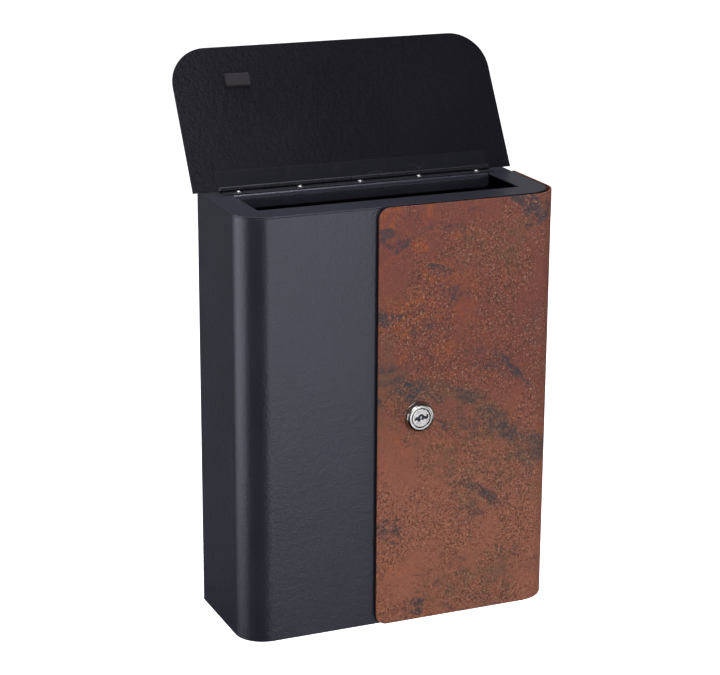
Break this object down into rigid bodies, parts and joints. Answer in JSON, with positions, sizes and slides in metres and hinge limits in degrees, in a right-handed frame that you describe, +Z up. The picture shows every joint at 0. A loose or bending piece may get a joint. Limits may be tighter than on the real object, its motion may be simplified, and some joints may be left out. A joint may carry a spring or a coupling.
{
  "type": "wall mounted mailbox",
  "caption": "Sheet steel wall mailbox with a lift up lid over the mail slot and a lockable wrap round door for taking the mail out.",
  "frame": {"origin": "centre of the four wall holes, on the back face", "axes": "+X to the right seen from the front, +Y from the back face into the wall, +Z up"},
  "size_m": [0.321, 0.1892, 0.5207],
  "materials": {
    "powder_coat": "anthracite powder coat with a fine texture",
    "hinge_black": "black coated steel",
    "stainless": "bright stainless steel",
    "rubber": "matt grey brown rubber",
    "rust_coat": "matt rust look coating with orange and blue grey patches",
    "chrome": "satin chrome",
    "zinc": "zinc plated steel"
  },
  "bodies": {
    "case": {"case_shell": "powder_coat", "case_back": "powder_coat", "case_base": "powder_coat", "slot_rim": "powder_coat", "cam_keeper": "powder_coat", "lid_hinge_case_leaf": "hinge_black", "lid_hinge_pin": "stainless", "lid_hinge_rivets": "stainless", "door_hinge_case_leaf": "hinge_black", "door_hinge_pin": "stainless", "door_hinge_rivets": "stainless", "door_buffers": "rubber"},
    "lid": {"lid_plate": "powder_coat", "lid_hinge_lid_leaf": "hinge_black", "lid_pad": "rubber"},
    "door": {"door_panel": "rust_coat", "door_hinge_door_leaf": "hinge_black", "lock_housing": "chrome", "lock_washer": "zinc", "lock_nut": "zinc"},
    "lock_core": {"lock_plug": "chrome", "keyway_shutter": "zinc", "lock_cam": "zinc", "cam_washer": "zinc", "cam_screw": "zinc"}
  },
  "joints": [
    {"name": "lid_hinge", "type": "hinge", "parent": "case", "child": "lid", "pos_m": [0, -0.0108, 0.2025], "axis": [1, 0, 0], "range_deg": [0, 120.2]},
    {"name": "door_hinge", "type": "hinge", "parent": "case", "child": "door", "pos_m": [0.15525, -0.01, 0], "axis": [0, 0, 1], "range_deg": [0, 90]},
    {"name": "lock_turn", "type": "hinge", "parent": "door", "child": "lock_core", "pos_m": [0.015, -0.121, 0.0015], "axis": [0, 1, 0], "range_deg": [0, 90]}
  ]
}
